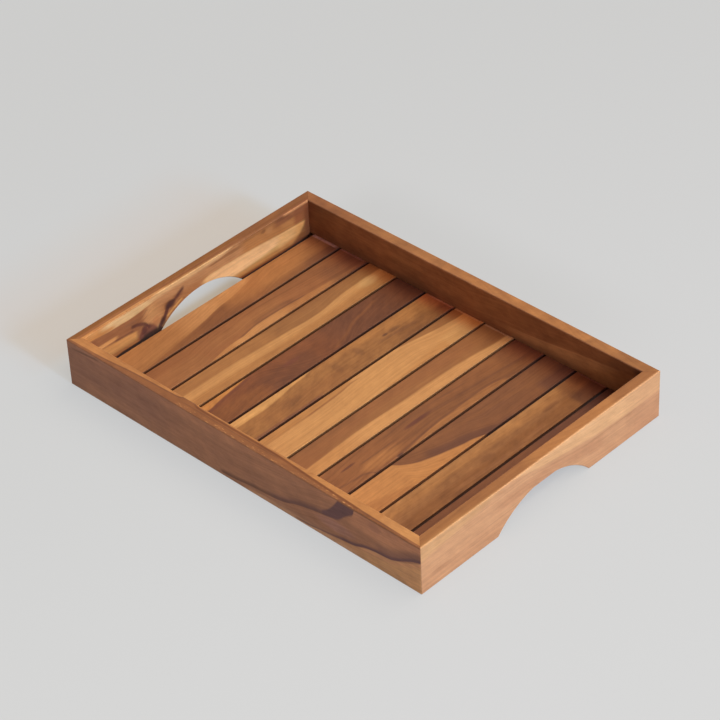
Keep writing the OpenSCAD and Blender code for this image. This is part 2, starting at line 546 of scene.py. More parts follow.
def long_board_place(side):
    """Along X, up Z, and in from the outer face at -Y or +Y."""

    def place(x, y, z, turned=False):
        if turned:
            return x, z, y
        return x, z, HALF_WIDTH - y * side

    return place


def end_board_place(side):
    """Along Y, up Z, and in from the outer face at -X or +X."""

    def place(x, y, z, turned=False):
        if turned:
            return y, z, x
        return y, z, HALF_LENGTH - x * side

    return place


# %% [markdown]
# The eleven slats were sawn from different boards, so no two match. The
# lines below follow each one's own heartwood and sapwood, from the left end
# of the tray to the right. Across is 0 on a slat's centre line and grows
# towards the right, and along grows towards the back board, where 140 is
# past the end. Slat one is honey wood whose heartwood crosses it. Slat two
# is brown, with a strip of sapwood down its right edge that swells near
# the middle.

# %% Slats one and two
FIGURES = {}
HEART_1 = [(70, -16), (40, -8), (20, -3.5), (0, -1), (-20, 3.5), (-60, 9.5), (-100, 15)]
FIGURES["slat_1"] = dict(
    base=tone(194, 132, 76),
    cast=(0.97, 0.98, 1.0),
    flow=HEART_1,
    wall_shade=0.75,
    layers=[
        band(OCHRE, reach=(-140, -55), fade=45, amount=0.8, soft=2),
        band(BROWN, beyond=HEART_1),
        band(CHESTNUT, beyond=HEART_1, reach=(-110, 5), fade=40, amount=0.9),
        streak(UMBER, [(25, -1), (0, 1.5), (-20, 6), (-55, 11)], 4, amount=0.5),
        band(UMBER, beyond=moved(HEART_1, 0, 5), reach=(-120, 15), fade=25, soft=3, amount=0.35),
        band(BROWN, reach=(60, 140), fade=20, amount=0.4),
        # Painted shade of the back board
        band(UMBER, beyond=3, reach=(104, 140), fade=20, soft=5, amount=0.75),
        band(OCHRE, reach=(60, 140), fade=18),
        band(AMBER, beyond=-8, below=9, reach=(20, 95), fade=20, amount=0.55, soft=6),
        band(CHESTNUT, beyond=8, reach=(70, 140), fade=45, amount=0.8, soft=6),
        # Painted shade of the back board
        band(UMBER, beyond=6, reach=(106, 140), fade=20, amount=0.8, soft=5),
        band(tone(150, 92, 44), beyond=6, reach=(-140, -40), fade=20, soft=4, amount=0.3),
        # Painted sheen, greyish pink, on the bevelled end at the back board
        band(tone(200, 146, 112), below=13, reach=(131.6, 140), fade=0.5, soft=3),
    ],
)
SAP_2 = [(115, 11.7), (80, 9.9), (60, 8.7), (40, 7.4), (20, 6.4), (5, 6.9), (-10, 9.6), (-30, 10.5),
         (-45, 12.8), (-60, 16)]
FIGURES["slat_2"] = dict(
    base=BROWN,
    cast=(0.95, 0.95, 0.97),
    streaks=0.8,
    flow=SAP_2,
    wall_shade=1.0,
    layers=[
        band(GOLD, beyond=SAP_2, reach=(-52, 140), fade=12, soft=1),
        band(AMBER, beyond=SAP_2, reach=(62, 140), fade=40, soft=1),
        band(HONEY, beyond=SAP_2, reach=(-18, 28), fade=14, soft=1, amount=0.6),
        band(UMBER, beyond=[(60, 6), (45, 1.2), (25, 0.4), (10, 1.6), (0, 5)],
             below=[(60, 8.5), (20, 6.4), (0, 7), (-10, 9)], reach=(10, 47), soft=0.9, amount=0.75),
        streak(UMBER, [(60, 8), (45, 6.8), (20, 5.8), (5, 6.2), (-12, 9)], 1.5, amount=0.8),
        band(CHESTNUT, below=-7, reach=(40, 120), fade=30, soft=5, amount=0.5),
        band(OCHRE, beyond=-9, below=5, reach=(-30, 30), fade=25, soft=5, amount=0.5),
        band(OCHRE, beyond=-4, reach=(-140, -60), fade=15, soft=5, amount=0.5),
        # Painted shade of the back board
        band(UMBER, beyond=-6, reach=(102, 140), fade=18, soft=6, amount=0.68),
        # Painted sheen on the bevelled end at the back board
        band(tone(186, 128, 92), below=11, reach=(132.5, 140), fade=0.5, soft=3, amount=0.5),
    ],
)
print("slats sketched:", len(FIGURES))

# %% [markdown]
# Slat three is split along its length between ochre and honey wood, and the
# line wanders a little, as sapwood does. Slat four is the darkest of the
# middle ones. It comes from near the heart of the tree, so its curl is
# strong, and only one corner has sapwood.

# %% Slats three and four
SAP_3 = [(120, -3.3), (100, -3), (80, -1.7), (70, -0.1), (60, 1.3), (50, 2), (40, 2), (30, 1.3),
         (20, 0.4), (0, -0.6), (-20, -1.9), (-40, -2.6), (-60, -3), (-100, -3.3)]
FIGURES["slat_3"] = dict(
    base=OCHRE,
    cast=(0.87, 0.9, 0.87),
    flow=SAP_3,
    wall_shade=0.2,
    at_wall=(0.92, 0.50, 0.28),
    layers=[
        band(AMBER, reach=(-140, -5), fade=20, amount=0.7),
        band(BROWN, below=-10, reach=(40, 140), fade=30, soft=4, amount=0.5),
        band(HONEY, beyond=SAP_3, soft=1.1),
        band(GOLD, beyond=[(120, 3), (60, 7), (0, 7.5), (-100, 6)], soft=2.5, amount=0.85),
        band(AMBER, beyond=9, soft=3, amount=0.6),
        fleck(STRAW, (114, 2), (16, 7), 0.7),
    ],
)
FIGURES["slat_4"] = dict(
    base=tone(124, 70, 39),
    cast=(1.0, 0.94, 0.76),
    flow=[(120, -12), (64, -1), (30, 12), (0, 6), (-50, -15.5), (-100, -8)],
    wall_shade=0.75,
    curl=0.8,
    layers=[
        band(COCOA, reach=(55, 140), fade=40, amount=0.85),
        band(COCOA, beyond=-6, reach=(-42, 2), fade=16, amount=0.6, soft=4),
        band(CHESTNUT, beyond=[(-45, 2), (-100, -4)], reach=(-140, -60), fade=18, amount=0.6, soft=4),
        band(GOLD, below=[(-45, -17), (-50, -15.6), (-60, -14), (-80, -11.5), (-100, -8)],
             reach=(-140, -54), soft=0.9),
        streak(PLUM, [(-52, -13.4), (-60, -11.8), (-80, -9.4), (-100, -6.2)], 2.4, amount=0.5),
        streak(BROWN, [(95, -8), (80, -4), (64, -1), (50, 5), (30, 12)], 2.5, amount=0.25),
        fleck(PLUM, (-11, -2), (14, 3.4), 0.7),
        fleck(COCOA, (-34, 11.5), (16, 5), 0.6),
        streak(COCOA, [(104, 6), (80, 8), (60, 13)], 3, amount=0.35),
    ],
)
print("slats sketched:", len(FIGURES))

# %% [markdown]
# Slat five has a wedge of sapwood at its front and a small knot near the
# back, with the cloudy mottle that wood round a knot has. Slat six is
# sapwood almost all over, so its curl is low, with darker wood along its
# left edge at both ends.

# %% Slats five and six
SAP_5 = [(-6, -16), (-20, -13.2), (-30, -12.6), (-40, -11.3), (-50, -9.6), (-60, -8.3), (-70, -7.5),
         (-102, -7.4)]
FIGURES["slat_5"] = dict(
    base=OCHRE,
    cast=(0.92, 0.94, 0.86),
    flow=SAP_5,
    mottle=0.6,
    curl=0.75,
    wall_shade=0.45,
    at_wall=(1.06, 0.49, 0.40),
    layers=[
        band(AMBER, below=[(110, -1), (60, -7), (0, -11)], reach=(0, 140), soft=4, amount=0.75),
        band(BROWN, beyond=[(30, 3), (-30, -2), (-70, -6)], reach=(-75, 5), fade=16, soft=4, amount=0.5),
        band(HONEY, below=SAP_5, reach=(-140, -14), soft=0.9),
        band(STRAW, below=SAP_5, reach=(-140, -45), fade=20, soft=0.9, amount=0.2),
        band(CHESTNUT, beyond=[(60, 6), (75, 1), (100, 2), (130, 3)], reach=(78, 140), amount=0.6,
             soft=3),
        streak(UMBER, [(60, 1.5), (76, 3), (96, 5)], 3, amount=0.5),
        fleck(COCOA, (67.7, -2.2), (4.5, 1.9), 0.9),
        fleck(UMBER, (78, -2), (10, 3), 0.7),
        fleck(UMBER, (36, -3), (5, 8), 0.4),
        fleck(CHESTNUT, (8, 0), (5, 9), 0.5),
        fleck(CHESTNUT, (-50, 3), (16, 7), 0.5),
        band(PLUM, beyond=[(-30, 13.8), (-100, 13)], reach=(-100, -30), amount=0.6, soft=1.5),
        # Painted sheen on the bevelled end at the back board
        band(tone(206, 150, 104), beyond=-12, reach=(132.7, 140), fade=0.5, soft=3, amount=0.5),
    ],
)
FIGURES["slat_6"] = dict(
    base=HONEY,
    cast=(0.94, 0.97, 0.95),
    flow=[(125, -5.6), (100, -8.3), (60, -14.8), (0, -12), (-40, -8.3), (-100, -7.8)],
    curl=0.22,
    wall_shade=0.3,
    at_wall=(1.0, 0.54, 0.27),
    layers=[
        band(GOLD, beyond=[(120, 6), (70, 9), (30, 13)], reach=(20, 140), soft=3, amount=0.7),
        band(OCHRE,
             below=[(125, -5.6), (110, -7.2), (100, -8.3), (90, -9.9), (80, -11.5), (70, -13.1),
                    (60, -14.8), (45, -18)], reach=(50, 140), soft=1),
        band(GOLD, below=[(10, -17), (-5, -12), (-20, -9.7), (-40, -8.3), (-100, -7.8)], reach=(-140, 0)),
        streak(BROWN, [(0, -12), (-20, -9.9), (-50, -8.3)], 1.4, amount=0.75, fade=14),
        streak(AMBER, [(-60, -8.2), (-100, -8)], 1.6, amount=0.6, fade=14),
        # Painted shade of the back board
        band(BROWN, below=-6, reach=(106, 140), fade=14, soft=3, amount=0.6),
        band(STRAW, beyond=3, reach=(98, 122), fade=8, soft=3, amount=0.3),
        # Painted sheen on the bevelled end at the back board
        band(tone(214, 150, 104), reach=(132.6, 140), fade=0.5, amount=0.6),
    ],
)
print("slats sketched:", len(FIGURES))

# %% [markdown]
# Slat seven is half brown and half honey wood, with the line a little right
# of its centre. Slat eight is heartwood with gum lines: thin dark streaks that
# follow the rings, drawn one by one because there are only a few.

# %% Slats seven and eight
SAP_7 = [(120, 8.9), (110, 7.7), (100, 6.3), (80, 4.4), (60, 3.6), (40, 3), (0, 2.7), (-20, 2.1),
         (-40, 2), (-60, 2.8), (-80, 3.8), (-100, 4.8)]
FIGURES["slat_7"] = dict(
    base=BROWN,
    flow=SAP_7,
    cast=(0.96, 0.98, 0.98),
    wall_shade=0.12,
    at_wall=(0.95, 0.72, 0.60),
    layers=[
        band(OCHRE, beyond=[(80, 0), (40, -4), (0, -6), (-50, -2)], reach=(-60, 100), fade=25, soft=4,
             amount=0.6),
        band(HONEY, beyond=SAP_7, soft=1.1),
        band(GOLD, beyond=SAP_7, reach=(-140, -70), fade=30, soft=1.1, amount=0.7),
        fleck(PLUM, (118, 3), (10, 5), 0.1),
        band(CHESTNUT, below=-11, reach=(-100, -40), fade=20, soft=3, amount=0.5),
        # Painted sheen on the bevelled end at the back board
        band(tone(200, 138, 96), reach=(132.7, 140), fade=0.5, amount=0.5),
    ],
)
HEART_8 = [(119, 5.3), (98, 3.1), (64, 0), (38, -2), (12, -5.5)]
FIGURES["slat_8"] = dict(
    base=CHESTNUT,
    cast=(0.96, 0.95, 0.94),
    streaks=0.8,
    flow=[(119, 5.3), (64, 0), (12, -5.5), (-19, -3.5), (-60, 0), (-100, 5)],
    wall_shade=1.0,
    curl=0.45,
    layers=[
        band(BROWN, reach=(-140, -45), fade=30, amount=0.7),
        band(BROWN, below=[(119, 3), (64, -3), (12, -8)], reach=(30, 120), fade=25, soft=3, amount=0.5),
        band(AMBER, beyond=[(98, 12.8), (64, 8.4), (30, 9), (4, 10), (-31, 14.2), (-45, 16)],
             reach=(-36, 84), soft=0.9, amount=0.6),
        streak(UMBER, [(98, 12.8), (64, 7.4), (30, 8), (4, 9), (-15, 11), (-31, 13.4), (-41, 14.4)], 2.2,
               amount=0.7),
        streak(UMBER, HEART_8, 2.2, amount=0.65),
        fleck(tone(103, 53, 35), (0, -4.6), (20, 3), 0.95),
        fleck(AMBER, (-54, 6), (28, 8), 0.75),
        streak(UMBER, [(-33, -1.2), (-67, -1.2)], 1.4, amount=0.65),
        fleck(tone(103, 53, 35), (-80, -6), (11, 1.6), 0.8),
        streak(UMBER, [(-69, 15.9), (-74, 11.2), (-88, 8.5), (-100, 6.9)], 2, amount=0.75),
        fleck(DUSK, (-41, 14.6), (5, 1.6), 0.7),
        # Painted shade of the back board
        band(COCOA, below=5, reach=(110, 140), fade=14, soft=4, amount=0.25),
        streak(UMBER, [(60, -9), (30, -11), (0, -11.5), (-30, -10)], 1.6, amount=0.5),
        streak(UMBER, [(20, 3), (-10, 4.5), (-40, 3.5)], 1.5, amount=0.45),
    ],
)
print("slats sketched:", len(FIGURES))

# %% [markdown]
# Slat nine is dark heartwood cut by a steep wedge of gold sapwood. The
# darker rings beside it run parallel to the wedge, so their lines are the
# wedge's own, moved over. Slats ten and eleven are plain, and the last is
# the darkest.

# %% Slats nine to eleven
WEDGE = [(40, 23), (26, 16.8), (10, 11.4), (0, 9.5), (-10, 6.8), (-20, 4.1), (-30, 0.9), (-40, -2.9),
         (-50, -9.9), (-56, -16)]
FIGURES["slat_9"] = dict(
    base=UMBER,
    flow=WEDGE,
    wall_shade=0.75,
    curl=0.4,
    layers=[
        band(CHESTNUT, beyond=[(140, -16), (60, -2), (0, -8), (-40, -20)], amount=0.5, soft=5),
        streak(CHESTNUT, [(120, 4), (70, -4), (20, -9), (-20, -14)], 3, amount=0.7),
        streak(COCOA, moved(WEDGE, 0, -1.5), 2.5, reach=(-56, 26), amount=0.5),
        band(CHESTNUT, below=-4, reach=(-60, 100), fade=14, soft=4, amount=0.5),
        band(COCOA, beyond=moved(WEDGE, 0, -9), reach=(-20, 50), fade=14, soft=3, amount=0.9),
        # Painted shade of the back board
        band(COCOA, beyond=3, reach=(106, 140), fade=12, soft=5, amount=0.95),
        band(GOLD, beyond=WEDGE, soft=1),
        band(AMBER, beyond=[(-60, 17), (-65, 12.7), (-82, 7.5), (-100, 1.9)], reach=(-140, -60), soft=1.5,
             amount=0.85),
    ],
)
FIGURES["slat_10"] = dict(
    base=tone(150, 96, 57),
    cast=(1.11, 1.21, 1.13),
    flow=[(120, 4), (0, 0), (-120, -3)],
    mottle=0.8,
    curl=0.6,
    wall_shade=1.0,
    layers=[
        band(tone(174, 115, 68), below=[(120, -9), (60, -4), (0, -6), (-100, -5)], soft=2.5, amount=0.8),
        fleck(tone(174, 118, 76), (93, 9), (15, 6), 0.6),
        # These two bands are painted shade of the back board
        band(UMBER, reach=(110, 140), fade=10, amount=0.65),
        band(COCOA, beyond=1, reach=(106, 140), fade=6, soft=4, amount=0.9),
        # Painted sheen on the bevelled end at the back board
        band(tone(150, 104, 86), beyond=-12, reach=(133, 140), fade=0.6, soft=3, amount=0.8),
        band(CHESTNUT, beyond=[(110, -3), (80, 3), (30, 1), (0, 4), (-60, 3), (-100, 6)],
             reach=(-100, 100), soft=3, amount=0.8),
        fleck(UMBER, (86, -2), (14, 3), 0.6),
        fleck(UMBER, (2, 2), (10, 5), 0.5),
        fleck(UMBER, (-22, 7), (12, 5), 0.5),
        streak(FAWN, [(60, 9), (20, 12), (-40, 10)], 3, amount=0.3),
    ],
)
FIGURES["slat_11"] = dict(
    base=COCOA,
    cast=(1.19, 1.2, 1.2),
    flow=[(120, 2), (0, -2), (-120, 1)],
    wall_shade=0.6,
    layers=[
        band(CHESTNUT, below=-9, reach=(-100, 30), fade=25, soft=4, amount=0.5),
        # Painted shade of the back board
        band(DUSK, reach=(116, 140), fade=30, amount=0.75),
        band(tone(204, 138, 97), beyond=13.6, soft=0.6),
    ],
)
print("slats sketched:", len(FIGURES))

# %% [markdown]
# The four boards stand on edge, so a board shows a wide face and a narrow top. Where a tone covers the inner
# part of the top only, its line is given in depth, counted in from the outer face, and not in height. A tone
# can stop at a depth as well, so each face can have its own: a skin or an outer depth keeps it to the outer
# face, and an inner depth to the inner face. The front board is brown, with two gum lines that climb towards
# the right corner, and a blot where the first one ends.

# %% Front board
STREAK_A = [(-20, 2.8), (0, 4.3), (10, 5.8), (20, 7.1), (30, 7.8), (40, 8.8), (50, 10.3), (55, 11.6),
            (60, 13.5), (65, 15.5), (70, 17), (80, 19.5), (90, 21.5), (100, 23.5), (106, 24.8)]
STREAK_B = [(70, 1.6), (80, 2.1), (90, 3.6), (100, 5), (110, 6.8), (120, 8.2), (130, 9.7), (140, 13.5),
            (150, 15.6), (165, 17.2), (170, 18.2), (175, 20.2), (180, 22.7), (185, 25.6), (190, 28.2),
            (195, 30.2), (200, 31.7)]
BLOB_EDGE = [(99, 23), (106, 24.5), (112, 26), (116, 29), (120, 33), (125, 37), (129, 40), (131, 47)]
BLOB_FADE = [(92, 25), (96, 27), (103, 32), (108, 38), (112, 44), (114, 47)]
PALE_STRIP = [(-198, 2.3), (-180, 2.7), (-160, 3.4), (-145, 4.6), (-130, 6), (-110, 7.2), (-80, 8.3),
              (-72, 9), (-67, 11.5), (-58, 11.5), (-52, 9.7), (-40, 9.1), (0, 9.1), (40, 8.9), (60, 7.8),
              (80, 6.5), (100, 5.4), (120, 4.4), (140, 3.5), (160, 3), (180, 2.5), (200, 2.2)]
FRONT_SKIN = 0.8
FRONT_OUTER = 3.0
FIGURES["front_board"] = dict(
    base=BROWN,
    flow=[(0, 0), (60, 8), (110, 20), (200, 28)],
    curl=0.5,
    mottle=0.5,
    mitred=True,
    layers=[
        # The outer face
        band(FAWN, outside=FRONT_SKIN, soft=0.5),
        band(COPPER, beyond=[(-60, 38), (100, 40)], outside=FRONT_SKIN, reach=(-150, 100), fade=60,
             soft=3, amount=0.45),
        band(MAUVE, outside=FRONT_SKIN, reach=(-210, -110), fade=60, amount=0.3),
        streak(UMBER, [(-190, 41), (-165, 44)], 1.8, outside=FRONT_OUTER),
        # Lighter wood at the right end and along the foot
        band(tone(202, 132, 88), beyond=[(90, 34), (125, 30), (150, 28), (200, 40)], outside=FRONT_SKIN,
             reach=(132, 210), fade=12, soft=3, amount=0.9),
        fleck(tone(150, 92, 66), (152, 40), (9, 6), 0.5, outside=FRONT_OUTER),
        band(tone(187, 125, 83), below=14, outside=FRONT_SKIN, reach=(-170, 50), fade=30, soft=6,
             amount=0.8),
        band(tone(188, 128, 86), below=4, outside=FRONT_SKIN, reach=(-190, 122), fade=16, soft=2.5,
             amount=0.55),
        band(tone(170, 115, 79), below=[(30, 6), (60, 8), (100, 9)], outside=FRONT_SKIN, reach=(40, 110),
             fade=16, soft=3),
        band(ROSE, below=[(60, 1), (80, 2), (100, 5), (130, 9.7), (150, 15.6), (170, 18.2), (200, 31)],
             reach=(96, 210), fade=14, outside=FRONT_SKIN, soft=1),
        band(STRAW, below=[(90, 3), (130, 7), (170, 14), (200, 26)], reach=(120, 210), fade=20,
             outside=FRONT_SKIN, soft=2, amount=0.4),
        band(tone(228, 166, 118), below=4.4, outside=FRONT_SKIN, reach=(26, 122), fade=18, soft=2,
             amount=0.95),
        fleck(tone(173, 117, 95), (110, 18), (26, 7), 0.7, outside=FRONT_OUTER),
        # The gum lines, and the blot where the first one ends
        streak(UMBER, STREAK_A, 5.0, reach=(-16, 104), fade=6, outside=FRONT_OUTER, crisp=0.6,
               amount=0.95),
        streak(MAUVE, STREAK_A, 8.0, reach=(46, 106), fade=14, outside=FRONT_OUTER, crisp=0.6,
               amount=0.5),
        band(MAUVE, below=BLOB_FADE, beyond=BLOB_EDGE, reach=(97, 133), fade=3, soft=1.6,
             outside=FRONT_OUTER),
        streak(MAUVE, STREAK_B, 2.6, reach=(70, 110), fade=8, outside=FRONT_OUTER, crisp=0.5, amount=0.7),
        streak(MAUVE, STREAK_B, 4.4, reach=(118, 210), fade=14, outside=FRONT_OUTER, crisp=0.5),
        streak(MAUVE, STREAK_B, 13.0, reach=(160, 210), fade=12, outside=FRONT_OUTER, crisp=0.6,
               amount=0.5),
        # The top edge, with its paler inner part
        band(CHESTNUT, beyond=45.5, soft=0.7, amount=0.5),
        band(CHESTNUT, beyond=45.5, reach=(120, 182), fade=10, soft=0.7, amount=0.6),
        band(GOLD, inside=PALE_STRIP, soft=0.45),
        band(AMBER, inside=10.7, soft=0.2, reach=(-80, -40)),
        band(AMBER, inside=PALE_STRIP, reach=(-200, -100), fade=12, soft=0.45, amount=0.5),
        band(AMBER, inside=PALE_STRIP, reach=(-50, 60), fade=12, soft=0.45, amount=0.6),
        band(HONEY, inside=PALE_STRIP, reach=(156, 192), fade=4, soft=0.45, amount=0.7),
        streak(UMBER, moved(PALE_STRIP, 0, -0.9), 1.0, reach=(-165, 165), in_depth=True, beyond=46,
               amount=0.75),
        streak(tone(122, 66, 27), moved(PALE_STRIP, 0, -1.2), 1.7, reach=(-50, 130), in_depth=True,
               beyond=46, amount=0.9),
        streak(UMBER, [(-60, 5.6), (0, 5.2), (40, 5.8)], 0.8, in_depth=True, beyond=46, amount=0.7),
        speckle(HONEY, (-60, 130), beyond=45, outside=3.2, inside=0.2, amount=0.8),
    ],
)
print("pieces sketched:", len(FIGURES))

# %% [markdown]
# The back board shows its inner face, which hardly catches the window's light. That face has a darker tone
# than the top, with painted shade that darkens it further along the slats and in both corners, and a lighter
# flame rises along its right half.

# %% Back board
LIGHT_LINE = [(0, 17), (20, 20), (40, 22.5), (60, 24), (80, 26), (100, 28.5), (120, 31.5), (140, 33.5),
              (160, 35.5), (185, 38)]
BACK_INNER = 10.2
FIGURES["back_board"] = dict(
    base=OCHRE,
    flow=LIGHT_LINE,
    curl=0.7,
    mottle=0.85,
    mitred=True,
    layers=[
        band(BROWN, reach=(-210, -140), fade=25, amount=0.9),
        # The top edge, more amber towards the right
        band(AMBER, inside=0.9, soft=0.4, reach=(-30, 57), fade=1.5, amount=0.8),
        band(AMBER, inside=0.9, soft=0.4, reach=(57, 128), fade=1.5),
        # The inner face, with painted shade towards the floor and both ends
        band(tone(156, 98, 60), inside=BACK_INNER, soft=0.4),
        band(tone(202, 140, 90), inside=BACK_INNER, below=LIGHT_LINE, reach=(75, 135), fade=55, soft=1.1,
             amount=0.8),
        band(tone(137, 83, 50), inside=BACK_INNER, below=[(-180, 37), (-60, 28), (0, 22), (180, 17)],
             soft=7),
        band(DUSK, inside=BACK_INNER, below=[(-180, 21), (0, 17), (180, 15.5)], soft=5, amount=0.6),
        band(tone(160, 94, 54), inside=BACK_INNER, below=19, reach=(-20, 34), fade=25, soft=3,
             amount=0.6),
        band(tone(130, 70, 40), inside=BACK_INNER, below=20, reach=(90, 160), fade=60, soft=5,
             amount=0.5),
        band(UMBER, inside=BACK_INNER, reach=(-210, -172), fade=30, amount=0.8),
        band(UMBER, inside=BACK_INNER, reach=(170, 210), fade=30, amount=0.7),
        band(tone(168, 106, 64), inside=BACK_INNER, beyond=28, reach=(-110, 30), fade=30, soft=6,
             amount=0.3),
        fleck(DUSK, (188, 43), (10, 8), 0.7, inside=BACK_INNER),
    ],
)
print("pieces sketched:", len(FIGURES))

# %% [markdown]
# The left end board is the liveliest piece. A broad panel of sapwood runs
# along its foot towards the back, a blaze and two knots sit by the hand
# hold, and dark gum runs down from the knots. Each is a band, a streak or a
# fleck, laid from the plain ground up, as a painter would.

